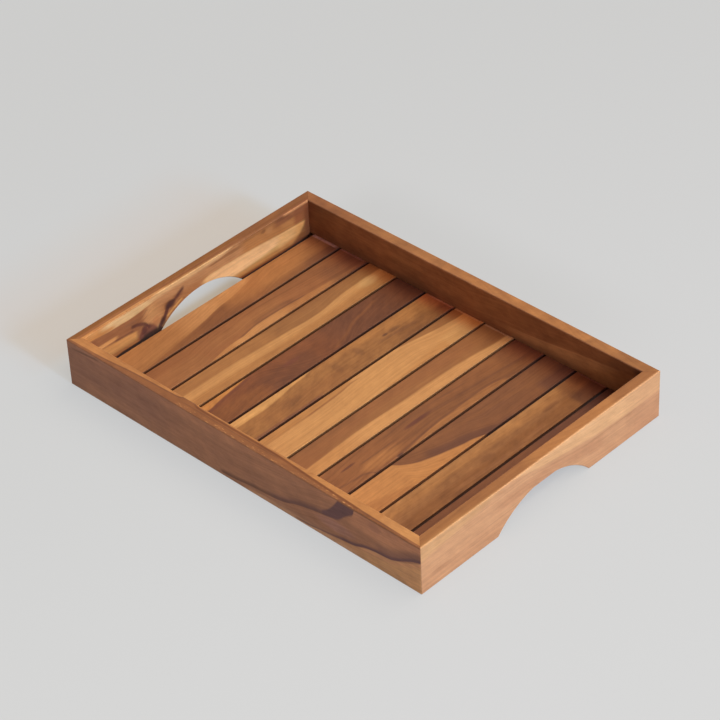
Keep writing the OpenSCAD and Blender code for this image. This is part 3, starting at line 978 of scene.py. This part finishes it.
# %% Left end board
LEFT_INNER = 9.0
TOP_BAND = [(-130, 40), (-120, 39.5), (-110, 39), (-100, 38.6), (-90, 38.5), (-80, 38.7), (-70, 39.5),
            (-60, 40.9), (-50, 42), (-20, 43.3), (0, 44.2), (20, 46)]
LOW_BAND = [(0, 31), (5, 32), (10, 32.7), (20, 32.8), (50, 32.4), (60, 32), (70, 31.4), (80, 30.7),
            (90, 30), (100, 29.3), (110, 29), (120, 28.7), (128, 28)]
FIRST_KNOT = [(-80, 28.6), (-76, 28), (-72, 26.6), (-68, 25), (-65, 22.5), (-63, 19)]
SECOND_KNOT = [(-20, 37), (-24, 35), (-29, 31.5), (-33, 29.8), (-37, 29), (-40, 26.5), (-41.5, 23.5),
               (-43, 20.5), (-44.5, 18.5), (-47, 16.3), (-49.5, 13.5), (-51, 10)]
FIGURES["left_end_board"] = dict(
    base=BROWN,
    flow=[(-125, 39), (-75, 39), (-50, 43), (0, 33), (50, 33.5), (130, 29)],
    streaks=0.38,
    curl=0.35,
    mottle=0.35,
    mitred=True,
    layers=[
        # The top edge
        band(tone(136, 80, 26), outside=5.2, beyond=44, soft=0.7, amount=0.8),
        band(tone(136, 80, 36), beyond=44, reach=(62, 140), fade=15),
        # The inner face's plain ground
        band(tone(160, 98, 56), inside=LEFT_INNER, reach=(-140, -70), fade=20),
        band(tone(193, 129, 77), inside=LEFT_INNER, reach=(-50, 60), fade=20),
        band(tone(168, 102, 54), inside=LEFT_INNER, below=34, reach=(-46, 4), fade=8, soft=3, amount=0.8),
        band(tone(160, 102, 58), inside=LEFT_INNER, beyond=40.5, below=43.6, reach=(14, 60), fade=8,
             soft=0.8),
        band(tone(186, 118, 62), inside=LEFT_INNER, reach=(58, 140), fade=14),
        # Gold patches by the front corner, and a gum line between them
        band(tone(228, 154, 84), inside=LEFT_INNER, beyond=[(-118, 25.8), (-92, 26.4)],
             below=[(-118, 30), (-92, 29.6)], reach=(-120, -102), fade=7, soft=1),
        band(tone(214, 142, 74), inside=LEFT_INNER, beyond=9, below=[(-112, 25), (-98, 24), (-76, 22)],
             reach=(-114, -79), fade=5, soft=1.2),
        streak(tone(120, 70, 45), [(-99, 25.2), (-92, 24.8), (-82, 24.5)], 1.7, inside=LEFT_INNER, fade=4,
               amount=0.65),
        band(tone(170, 88, 38), inside=LEFT_INNER, below=14, reach=(-118, -74), fade=6, soft=2.5,
             amount=0.85),
        # The blaze beside the hand hold, and its fine lines
        fleck(tone(206, 139, 80), (-57, 28), (15, 18), 0.95, inside=LEFT_INNER),
        fleck(HONEY, (-58, 33), (7, 8), 0.6, inside=LEFT_INNER),
        fleck(tone(188, 112, 62), (-54, 20), (6, 7), 0.6, inside=LEFT_INNER),
        streak(tone(140, 86, 52), [(-77, 29), (-74, 30.5), (-69, 33), (-64, 37)], 1.3, inside=LEFT_INNER,
               amount=0.45, fade=3),
        streak(tone(150, 94, 56), [(-70, 29), (-65, 30.5), (-60, 35)], 1.1, inside=LEFT_INNER, amount=0.3,
               fade=3),
        # Two knots, and the dark gum that runs down from them
        band(tone(120, 62, 44), inside=LEFT_INNER,
             below=[(-74, 15), (-71, 20), (-66, 23), (-60, 21), (-54, 15)], reach=(-73, -55), fade=3,
             soft=2.5, amount=0.9),
        streak(tone(90, 48, 38), FIRST_KNOT, 3.2, inside=LEFT_INNER, fade=4, amount=0.8),
        fleck(tone(84, 45, 36), (-68, 18.5), (4, 7), 0.6, inside=LEFT_INNER),
        fleck(tone(150, 96, 60), (-82, 33), (9, 3), 0.6, inside=LEFT_INNER),
        band(tone(92, 47, 36), inside=LEFT_INNER, below=moved(SECOND_KNOT, -2, 1),
             beyond=moved(SECOND_KNOT, 1.8, -1), reach=(-51, -22), fade=4, soft=2.2, amount=0.95),
        fleck(tone(112, 62, 44), (-27, 33), (8, 4), 0.3, inside=LEFT_INNER),
        fleck(tone(72, 38, 32), (-37, 28.5), (8, 5.5), 0.9, inside=LEFT_INNER),
        fleck(tone(72, 36, 26), (-46.5, 16), (4, 6), 0.7, inside=LEFT_INNER),
        # A gold line beside the second knot
        streak(tone(218, 148, 76), [(-40, 18.5), (-34, 22), (-24, 26.6)], 1.8, inside=LEFT_INNER, fade=3,
               amount=0.9),
        # Sapwood along the foot, towards the back
        band(tone(217, 156, 87), inside=LEFT_INNER, below=LOW_BAND, reach=(8, 140), fade=9, soft=1),
        band(tone(247, 182, 116), inside=LEFT_INNER, below=moved(LOW_BAND, 0, -0.5),
             beyond=[(0, 14), (60, 17), (96, 21), (112, 25)], reach=(20, 96), fade=26, soft=2,
             amount=0.9),
        band(tone(240, 172, 100), inside=LEFT_INNER, below=LOW_BAND, reach=(100, 140), fade=10, soft=1),
        band(tone(230, 150, 76), inside=LEFT_INNER, below=LOW_BAND, reach=(122, 140), fade=12, soft=1,
             amount=0.8),
        band(tone(206, 116, 48), inside=LEFT_INNER, below=[(0, 15.5), (90, 15.5), (110, 17)],
             reach=(8, 140), soft=2.8, amount=0.8),
        # Painted shade in the gap beside slat one, below the floor's top
        band(tone(150, 72, 26), inside=LEFT_INNER, below=11.6, reach=(30, 140), fade=40, soft=1.5,
             amount=0.8),
        # Painted shade in the back corner, over the sapwood's end
        band(tone(116, 52, 28), inside=LEFT_INNER, below=[(108, 10), (117, 15), (126, 24), (131, 31)],
             reach=(115, 140), fade=10, soft=3.5, amount=0.8),
        # Small spots above the sapwood
        fleck(tone(192, 126, 72), (84, 41), (6, 5), 0.6, inside=LEFT_INNER),
        fleck(UMBER, (77, 43), (4, 2.4), 0.6, inside=LEFT_INNER),
        fleck(UMBER, (109.5, 41), (5, 2.6), 0.6, inside=LEFT_INNER),
        # Painted shade, darker towards both corners
        band(tone(162, 92, 50), inside=LEFT_INNER, beyond=29.5, reach=(118, 140), fade=6, soft=1.5),
        band(tone(146, 84, 50), inside=LEFT_INNER, beyond=38.8, reach=(96, 140), fade=10, soft=1.5,
             amount=0.8),
        band(tone(144, 76, 40), inside=LEFT_INNER, reach=(130, 140), fade=4.5, amount=0.9),
        band(tone(140, 78, 44), inside=LEFT_INNER, beyond=26, below=38, reach=(-140, -124), fade=6,
             soft=1.5, amount=0.5),
        # The pale band that runs along the top
        band(tone(215, 143, 76), inside=8.3, beyond=TOP_BAND, reach=(-140, 0), fade=16, soft=0.9),
        band(tone(233, 181, 116), inside=8.3, beyond=TOP_BAND, reach=(-105, -58), fade=14, soft=0.9),
        band(tone(200, 126, 62), inside=LEFT_INNER, beyond=TOP_BAND, below=42, reach=(-140, -104), fade=8,
             soft=1.2, amount=0.85),
        band(tone(206, 146, 92), inside=LEFT_INNER, beyond=[(-50, 41.6), (0, 42), (28, 43.6), (42, 47)],
             reach=(-54, 40), fade=10, soft=0.8, amount=0.85),
        # Darker and lighter lines along the inner edge of the top; the lighter ones are partly pale wood and
        # partly painted highlight on the rounded edge
        fleck(tone(104, 58, 38), (101, 44), (12, 2.2), 0.45, inside=LEFT_INNER),
        band(tone(118, 64, 22), inside=6, beyond=45.9, reach=(-34, 140), fade=14, soft=0.7, amount=0.5),
        band(UMBER, inside=9, beyond=43.6, reach=(50, 104), fade=8, soft=0.8, amount=0.4),
        band(tone(227, 169, 106), inside=10.0, soft=0.5,
             beyond=[(-50, 43.2), (0, 43.6), (24, 45), (38, 46.4)], reach=(-56, 32), fade=10,
             amount=0.85),
        streak(tone(208, 136, 82), [(106, 46.4), (134, 46.6)], 2.4, inside=10.2, fade=6, amount=0.85),
        band(tone(186, 116, 60), inside=8.3, beyond=46.2, reach=(-118, -60), fade=14, soft=0.5,
             amount=0.85),
        # The painted shadow in the gap where the floor starts
        band(GAP_SHADOW, inside=LEFT_INNER,
             below=[(-100, 9.2), (-96, 10.2), (-80, 10.4), (-60, 9.2), (85, 9), (104, 9.3), (122, 9.8),
                    (133, 11.6)], soft=0.9, amount=0.95),
        band(GAP_SHADOW, inside=LEFT_INNER,
             below=[(-78, 9), (-71, 11.5), (-66, 13.2), (-58, 13), (-52, 12.5), (-46, 10)],
             reach=(-76, -46), fade=5, soft=2.0, amount=0.85),
    ],
)
print("pieces sketched:", len(FIGURES))

# %% [markdown]
# The right end board faces the window with its outer face, which is pale
# and calm: a light arc of sapwood passes over the hand hold, and the wood
# under it is a little browner.

# %% Right end board
RIGHT_SKIN = 0.9
FIGURES["right_end_board"] = dict(
    base=AMBER,
    flow=[(-20, 43), (20, 36), (60, 30.5), (110, 28)],
    curl=0.3,
    mitred=True,
    layers=[
        # The top edge and the inner face
        band(OCHRE, reach=(-140, -24), fade=30, amount=0.9),
        band(OCHRE, reach=(98, 140), fade=16, amount=0.9),
        band(BROWN, beyond=45.5, reach=(-80, -20), soft=0.7, amount=0.35),
        band(BROWN, beyond=45.5, reach=(95, 140), fade=10, soft=0.7, amount=0.45),
        # The outer face
        band(tone(210, 147, 98), outside=RIGHT_SKIN, soft=0.3),
        band(tone(232, 170, 111), outside=RIGHT_SKIN, soft=1.6, amount=0.9,
             beyond=[(-40, 47), (-20, 43), (-10, 40.5), (0, 38.5), (20, 36), (40, 33.5), (60, 30.5),
                     (80, 29.5), (110, 28)]),
        band(STRAW, outside=RIGHT_SKIN, beyond=[(-144, 33), (-100, 38), (-60, 44)], reach=(-150, -70),
             fade=25, soft=3, amount=0.6),
        band(tone(194, 129, 84), outside=RIGHT_SKIN, beyond=[(-50, 24), (20, 22), (60, 14)],
             below=[(-60, 34), (0, 35), (30, 31), (70, 24)], reach=(-45, 62), fade=18, soft=3,
             amount=0.85),
        band(tone(194, 129, 84), outside=RIGHT_SKIN, below=[(-140, 17), (-60, 18), (60, 10), (140, 16)],
             soft=6, amount=0.5),
        band(tone(190, 124, 82), outside=RIGHT_SKIN, reach=(124, 150), fade=34, amount=0.35),
        streak(tone(184, 122, 78), [(60, 27), (84, 26.5), (107, 26)], 1.2, outside=RIGHT_SKIN,
               amount=0.6),
        fleck(tone(190, 128, 84), (-122, 13.5), (14, 3), 0.6, outside=RIGHT_SKIN),
    ],
)
print("pieces sketched:", len(FIGURES))

# %% [markdown]
# Each sketch becomes a material of its own on its piece. Slat eleven's edge gets no painted gap shade,
# because no gap hides that edge.

# %% Teak on every board and slat
BOARD_PLACES = {
    "front_board": long_board_place(-1),
    "back_board": long_board_place(1),
    "left_end_board": end_board_place(-1),
    "right_end_board": end_board_place(1),
}
GAP_SHADE = 0.9
for seed, (node, figure) in enumerate(FIGURES.items(), 1):
    in_gap = node.startswith("slat") and node != "slat_11"
    place = BOARD_PLACES.get(node) or slat_place(node)
    material = teak("teak_" + node, place, seed=seed, shaded_edges=GAP_SHADE if in_gap else 0, **figure)
    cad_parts[node].material_slots[0].material = material
    print(node, "has", len(material.node_tree.nodes), "shader nodes")

# %% [markdown]
# Splines and brads hardly show, but someone may take the tray apart. The
# splines are offcuts of pale teak. The brads are plain bright steel.

# %% Splines and brads
def upright_place(x, y, z, turned=False):
    """Along Z, for a key that lies across a mitre."""
    return z, x, y


def brad_steel():
    """Drawn steel: rings of fine scratches, a little dull."""
    steel = Finish(bpy.data.materials.new("brad_steel"))
    position = steel.node("ShaderNodeTexCoord", None, None, "Object")
    x, y, z = [part / MM for part in steel.split(position)]
    scratches = steel.noise(x * 1.5, y * 1.5, z * 14, 3.0)
    colour = steel.mix(tone(170, 172, 174), tone(200, 201, 202), scratches + 0.5)
    return steel.surface({"Base Color": colour, "Metallic": 1.0, "Roughness": scratches * 0.3 + 0.36})


sap_stripe = fleck(AMBER, (25, 0), (20, 300), 0.5)
spline_teak = teak("teak_spline", upright_place, HONEY, [sap_stripe], seed=31)
splines = [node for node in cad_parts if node.startswith("spline")]
for node in splines:
    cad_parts[node].material_slots[0].material = spline_teak
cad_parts["slat_brads"].material_slots[0].material = brad_steel()
print("splines:", splines)

# %% [markdown]
# The tray rests on a plain pale sweep. A wide flat floor is enough, because
# the camera looks down. The floor is a grid in polar form: rings get wider
# with distance, so it reaches far with few faces.

# %% Floor
FLOOR_RADIUS = 30.0
FLOOR_RINGS = 24
FLOOR_SIDES = 48


def polar_floor(radius, rings, sides):
    """Points at radius times (ring / rings) squared, turned in equal steps, at the floor's height."""
    share = (np.arange(1, rings + 1) / rings) ** 2
    angle = np.arange(sides) * 2 * math.pi / sides
    x = radius * np.outer(share, np.cos(angle)).ravel()
    y = radius * np.outer(share, np.sin(angle)).ravel()
    points = np.vstack([[0, 0, 0], np.column_stack([x, y, np.zeros_like(x)])])
    turn = np.arange(sides)
    following = (turn + 1) % sides
    faces = [(0, 1 + a, 1 + b) for a, b in zip(turn, following)]
    for ring in range(rings - 1):
        inner = 1 + ring * sides
        outer = inner + sides
        faces += [(inner + a, outer + a, outer + b, inner + b) for a, b in zip(turn, following)]
    return points, faces


floor_points, floor_faces = polar_floor(FLOOR_RADIUS, FLOOR_RINGS, FLOOR_SIDES)
floor_mesh = bpy.data.meshes.new("floor")
floor_mesh.from_pydata(floor_points.tolist(), [], [[int(i) for i in face] for face in floor_faces])
floor = bpy.data.objects.new("floor", floor_mesh)
bpy.context.scene.collection.objects.link(floor)
print("floor faces:", len(floor_faces))

# %% [markdown]
# The paper is matt, with painted light that makes it a little brighter towards the window. Close to the tray
# painted shadow darkens it: warm beyond the left end and inside the left hand hold, greyer behind the tray
# and along its right end. What the camera sees is mostly one plain level, and the rest is lit paper, so the
# tray's shadow stays soft. In front of the tray and to its right the plain share is larger, which makes the
# shadow there fainter still. All places here are in metres.

# %% Pale sweep
PAPER_LEFT = tone(205, 205, 203)
PAPER_RIGHT = tone(217, 217, 216)
# Tints of the painted shadow and shade on the paper
LEFT_SHADOW_TINT = (1.0, 0.935, 0.885)
ARCH_SHADOW_TINT = (0.89, 0.77, 0.63)
GREY_SHADE_TINT = (0.95, 0.95, 0.945)
PLAIN_LEVEL = 0.65
FRONT_LEVEL = 0.8


def pale_sweep():
    """Matt paper with painted light and patches of painted shadow. Each patch on it is 1 between two smooth
    edges along x, times the same along y.
    """
    paper = Finish(bpy.data.materials.new("pale_sweep"))
    x, y, z = paper.split(paper.node("ShaderNodeTexCoord", None, None, "Object"))
    fibres = paper.noise(x * 900, y * 900, 0, 2.0)
    # Painted light: the paper grows brighter towards the window
    rise = paper.step(x - y * 0.35, -0.75, 0.75)
    colour = paper.mix(PAPER_LEFT, PAPER_RIGHT, rise + fibres * 0.12)

    # Painted warm shadow beyond the left end of the tray
    leftwards = x * -1
    beside = 1 - paper.step(abs(y), 0.11, 0.17)
    left = paper.between(leftwards, (0.222, 0.243), (0.29, 0.40)) * beside
    colour = paper.mix(colour, paper.tinted(colour, *LEFT_SHADOW_TINT), left)

    # Painted warm shadow inside the left hand hold
    in_arch = 1 - paper.step(abs(y), 0.045, 0.06)
    under_arch = paper.between(leftwards, (0.18, 0.19), (0.199, 0.209)) * in_arch
    colour = paper.mix(colour, paper.tinted(colour, *ARCH_SHADOW_TINT), under_arch)

    # Painted grey shade behind the tray and along its right end
    behind = paper.between(y, (0.12, 0.14), (0.20, 0.28)) * paper.between(x, (-0.24, -0.18), (0.0, 0.18))
    right = paper.between(x, (0.18, 0.2), (0.205, 0.24)) * beside
    colour = paper.mix(colour, paper.tinted(colour, *GREY_SHADE_TINT), paper.larger(behind, right * 0.2))

    # A larger plain share in front and to the right, which keeps the shadow there fainter
    in_front = (1 - paper.step(y, -0.15, -0.13)) * paper.between(x, (-0.26, -0.2), (0.2, 0.3))
    in_front = paper.larger(in_front, paper.step(x, 0.18, 0.2) * beside)
    share = in_front * (FRONT_LEVEL - PLAIN_LEVEL) + PLAIN_LEVEL
    matt = paper.node("ShaderNodeBsdfDiffuse", None, {"Color": colour})
    level = paper.node("ShaderNodeEmission", None, {"Color": colour, "Strength": 1.0})
    sockets = {"Fac": paper.seen() * share, "Shader": matt, "Shader_001": level}
    mixed = paper.node("ShaderNodeMixShader", None, sockets)
    paper.node("ShaderNodeOutputMaterial", None, {"Surface": mixed})
    return paper.owner


floor_mesh.materials.append(pale_sweep())
print("sweep seen plain by", PLAIN_LEVEL, "and in front by", FRONT_LEVEL)

# %% [markdown]
# Soft window light comes from the right, well above the tray, and the rest
# of the room fills in. Wide suns light the whole floor evenly, which lamps
# close by would not. Each light is given by the share of the floor's light
# that it makes, and the shares add up to 1, so a tone shows as written.

# %% Lights
def wide_sun(name, azimuth, elevation, spread, share, colour):
    """A sun that gives a level floor this share of its light, from a disc as wide as its spread."""
    lamp = bpy.data.lights.new(name, "SUN")
    lamp.angle = math.radians(spread)
    lamp.energy = share * math.pi / math.sin(math.radians(elevation))
    lamp.color = colour
    sun = bpy.data.objects.new(name, lamp)
    turn = math.radians(azimuth)
    level = math.cos(math.radians(elevation))
    rise = math.sin(math.radians(elevation))
    towards = Vector((math.sin(turn) * level, -math.cos(turn) * level, rise))
    sun.rotation_mode = "QUATERNION"
    sun.rotation_quaternion = towards.to_track_quat("Z", "Y")
    bpy.context.scene.collection.objects.link(sun)
    return share


DOME_SHARE = 0.27
sun_shares = [
    wide_sun("high_light", azimuth=165, elevation=60, spread=45, share=0.33, colour=(1.15, 1.01, 0.86)),
    wide_sun("side_light", azimuth=100, elevation=50, spread=40, share=0.20, colour=(1.1, 0.98, 0.86)),
    wide_sun("window", azimuth=87, elevation=25.6, spread=8, share=0.20, colour=(0.55, 1.0, 1.7)),
]
print("shares of the light add up to", round(DOME_SHARE + sum(sun_shares), 3))

# %% [markdown]
# The room round the tray is a dim dome of warm light. What the camera sees
# of it, past the floor's far edge, is the same pale grey as the floor, and
# so is what shows in gloss.

# %% Room
DOME_COLOUR = (1.12, 1.0, 0.84, 1.0)
BACKDROP_TONE = tone(211, 210, 208)
room = Finish(bpy.data.worlds.new("room"))
dome = room.node("ShaderNodeBackground", None, {"Color": DOME_COLOUR, "Strength": DOME_SHARE})
backdrop = room.node("ShaderNodeBackground", None, {"Color": BACKDROP_TONE, "Strength": 1.0})
either = room.node("ShaderNodeMixShader", None, {"Fac": room.seen(), "Shader": dome, "Shader_001": backdrop})
room.node("ShaderNodeOutputWorld", None, {"Surface": either})
bpy.context.scene.world = room.owner
print("room has", len(room.tree.nodes), "shader nodes")

# %% [markdown]
# The plain view transform shows each tone as it is written.

# %% Closing
bpy.context.scene.view_settings.view_transform = "Standard"
